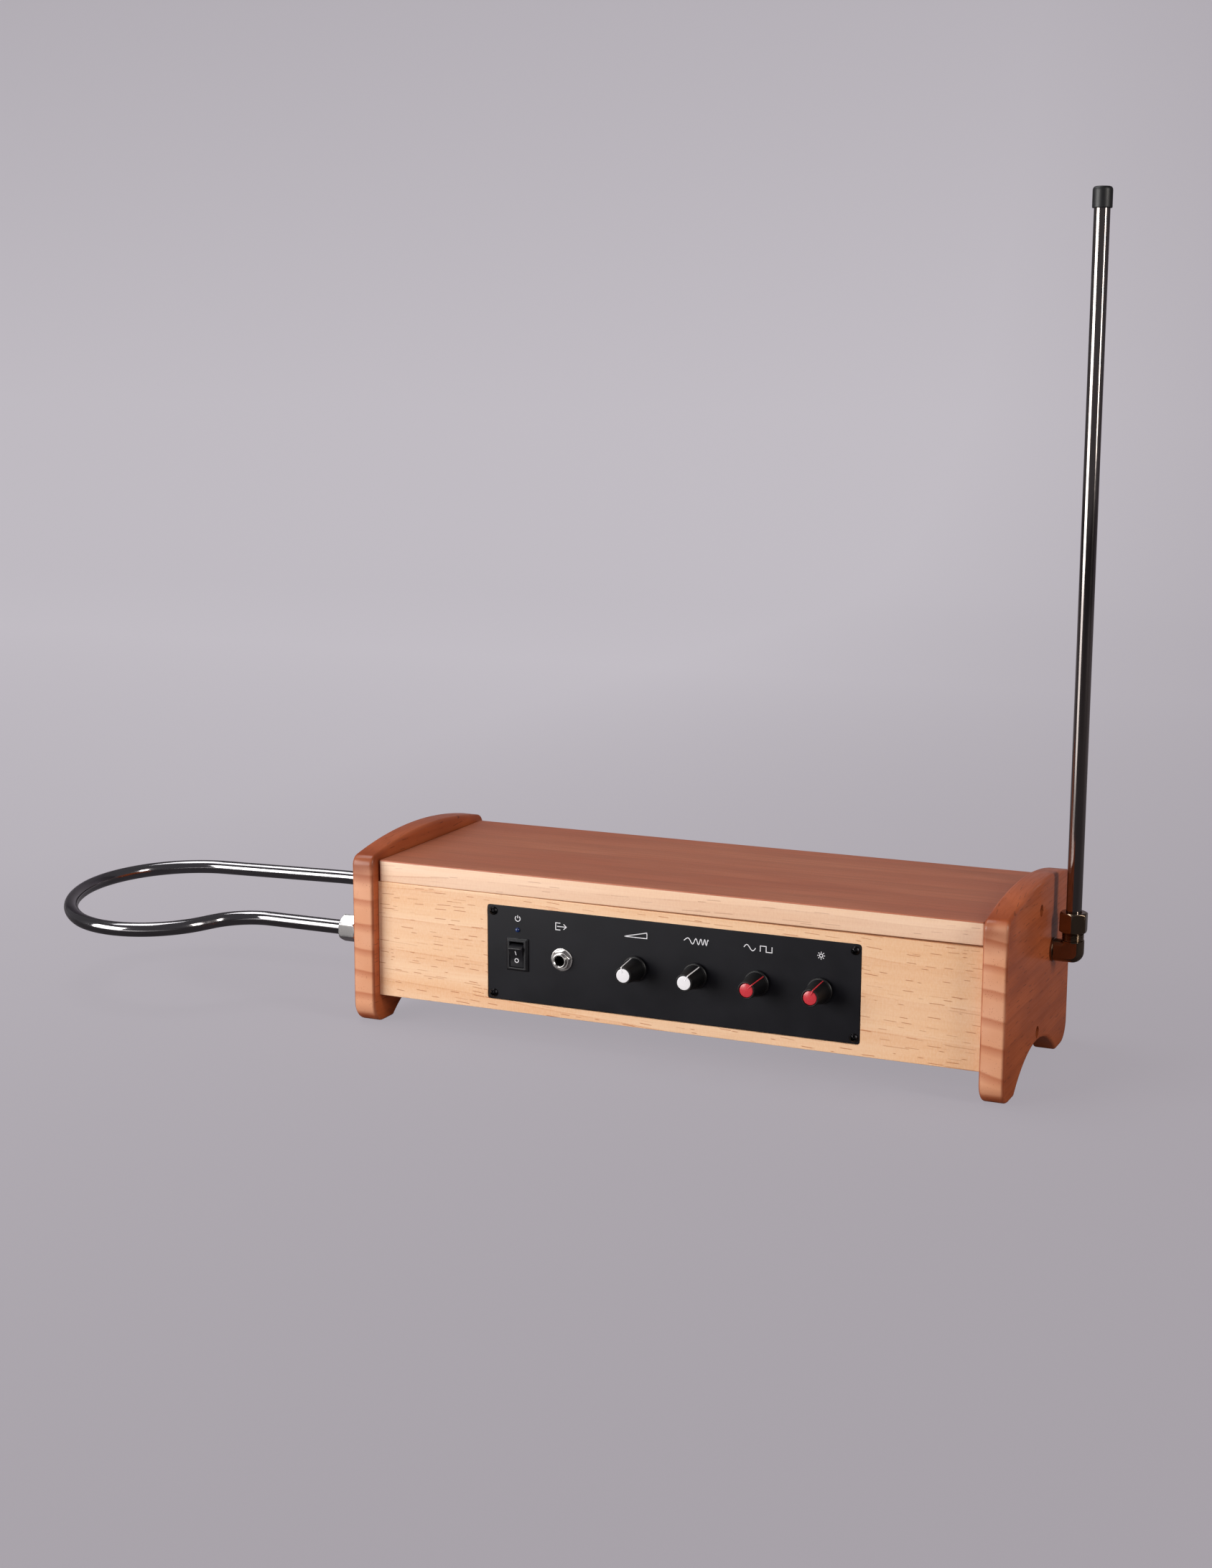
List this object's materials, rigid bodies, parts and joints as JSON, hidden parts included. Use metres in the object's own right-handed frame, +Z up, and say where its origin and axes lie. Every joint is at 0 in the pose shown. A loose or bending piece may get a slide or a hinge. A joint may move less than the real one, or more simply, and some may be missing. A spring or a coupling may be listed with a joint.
{
  "type": "theremin",
  "caption": "Wooden electronic musical instrument played without touch: a low cabinet with a control panel, an upright rod antenna and a bent tube loop.",
  "frame": {"origin": "centre of the whole model's outline, on the plane that the feet stand on", "axes": "+X to the right, from the volume loop to the pitch antenna; +Y from the control panel to the back; +Z up, along the pitch antenna"},
  "size_m": [0.6976, 0.1932, 0.5246],
  "materials": {
    "pale_wood": "satin varnish",
    "stained_wood": "gloss varnish",
    "black_metal": "satin black",
    "steel": "plain",
    "black_plastic": "satin",
    "white_plastic": "gloss",
    "red_plastic": "gloss",
    "blue_lens": "clear lens",
    "pot_metal": "plain",
    "board": "solder mask",
    "ribbon": "ribbed",
    "choke_wire": "enamelled wire",
    "capacitor_sleeve": "sleeve",
    "regulator_metal": "black anodised",
    "terminal_plastic": "plain",
    "red_wire": "insulation",
    "black_wire": "insulation",
    "brass_fitting": "dark nickel",
    "chrome_nut": "polished",
    "chrome_tube": "polished",
    "black_rubber": "satin"
  },
  "bodies": {
    "cabinet": {"floor_board": "pale_wood", "front_board": "pale_wood", "back_board": "pale_wood", "lid": "pale_wood", "left_cheek": "stained_wood", "right_cheek": "stained_wood", "control_panel": "black_metal", "stand_flange": "black_metal", "flange_screws": "black_metal", "panel_screws": "black_metal", "cheek_screws": "steel", "standoffs": "steel", "board_screws": "steel", "pot_nuts": "steel", "jack_washer": "steel", "jack_nut": "steel", "jack_bushing": "steel", "dc_nut": "steel", "switch_housing": "black_plastic", "jack_body": "black_plastic", "chips": "black_plastic", "dc_inlet": "black_plastic", "power_lamp": "blue_lens", "pot_bodies": "pot_metal", "oscillator_cans": "pot_metal", "control_board": "board", "main_board": "board", "ribbon_cable": "ribbon", "antenna_chokes": "choke_wire", "capacitors": "capacitor_sleeve", "regulator": "regulator_metal", "terminals": "terminal_plastic", "pitch_lead": "red_wire", "volume_lead": "red_wire", "panel_leads": "black_wire", "pitch_elbow": "brass_fitting", "locknuts": "brass_fitting", "loop_fittings": "brass_fitting"},
    "volume_control": {"volume_knob": "black_plastic", "volume_cap": "white_plastic", "volume_shaft": "pot_metal"},
    "pitch_control": {"pitch_knob": "black_plastic", "pitch_cap": "white_plastic", "pitch_shaft": "pot_metal"},
    "waveform_control": {"waveform_knob": "black_plastic", "waveform_cap": "red_plastic", "waveform_shaft": "pot_metal"},
    "brightness_control": {"brightness_knob": "black_plastic", "brightness_cap": "red_plastic", "brightness_shaft": "pot_metal"},
    "rocker": {"rocker": "black_plastic"},
    "pitch_antenna": {"pitch_tube": "chrome_tube", "pitch_end_cap": "black_rubber", "pitch_ferrule": "brass_fitting"},
    "pitch_nut": {"pitch_nut": "brass_fitting"},
    "volume_loop": {"volume_loop": "chrome_tube", "loop_ferrules": "brass_fitting"},
    "front_loop_nut": {"front_loop_nut": "chrome_nut"},
    "rear_loop_nut": {"rear_loop_nut": "chrome_nut"}
  },
  "joints": [
    {"name": "volume_turn", "type": "hinge", "parent": "cabinet", "child": "volume_control", "pos_m": [0.09353, -0.06251, 0.05625], "axis": [0, 1, 0], "range_deg": [-137, 163]},
    {"name": "pitch_turn", "type": "hinge", "parent": "cabinet", "child": "pitch_control", "pos_m": [0.13353, -0.06251, 0.05625], "axis": [0, 1, 0], "range_deg": [-178, 122]},
    {"name": "waveform_turn", "type": "hinge", "parent": "cabinet", "child": "waveform_control", "pos_m": [0.17353, -0.06251, 0.05625], "axis": [0, 1, 0], "range_deg": [-193, 107]},
    {"name": "brightness_turn", "type": "hinge", "parent": "cabinet", "child": "brightness_control", "pos_m": [0.21353, -0.06251, 0.05625], "axis": [0, 1, 0], "range_deg": [-170, 130]},
    {"name": "power_rock", "type": "hinge", "parent": "cabinet", "child": "rocker", "pos_m": [0.01283, -0.04851, 0.05625], "axis": [-1, 0, 0], "range_deg": [0, 28]},
    {"name": "pitch_antenna_lift", "type": "slide", "parent": "cabinet", "child": "pitch_antenna", "axis": [0, 0, 1], "range_m": [0, 0.00635]},
    {"name": "pitch_nut_turn", "type": "hinge", "parent": "pitch_antenna", "child": "pitch_nut", "pos_m": [0.34053, 0.04909, 0.09], "axis": [0, 0, 1], "range_deg": [0, 2161]},
    {"name": "volume_loop_pull", "type": "slide", "parent": "cabinet", "child": "volume_loop", "axis": [-1, 0, 0], "range_m": [0, 0.00635]},
    {"name": "front_nut_turn", "type": "hinge", "parent": "volume_loop", "child": "front_loop_nut", "pos_m": [-0.11697, -0.03583, 0.05583], "axis": [-1, 0, 0], "range_deg": [0, 2161]},
    {"name": "rear_nut_turn", "type": "hinge", "parent": "volume_loop", "child": "rear_loop_nut", "pos_m": [-0.11697, 0.07202, 0.06157], "axis": [-1, 0, 0], "range_deg": [0, 2161]}
  ],
  "couplings": [
    {"joint": "pitch_nut_turn", "follows": "pitch_antenna_lift", "rad_per_m": 5936.9},
    {"joint": "front_nut_turn", "follows": "volume_loop_pull", "rad_per_m": 5936.9},
    {"joint": "rear_nut_turn", "follows": "volume_loop_pull", "rad_per_m": 5936.9}
  ]
}
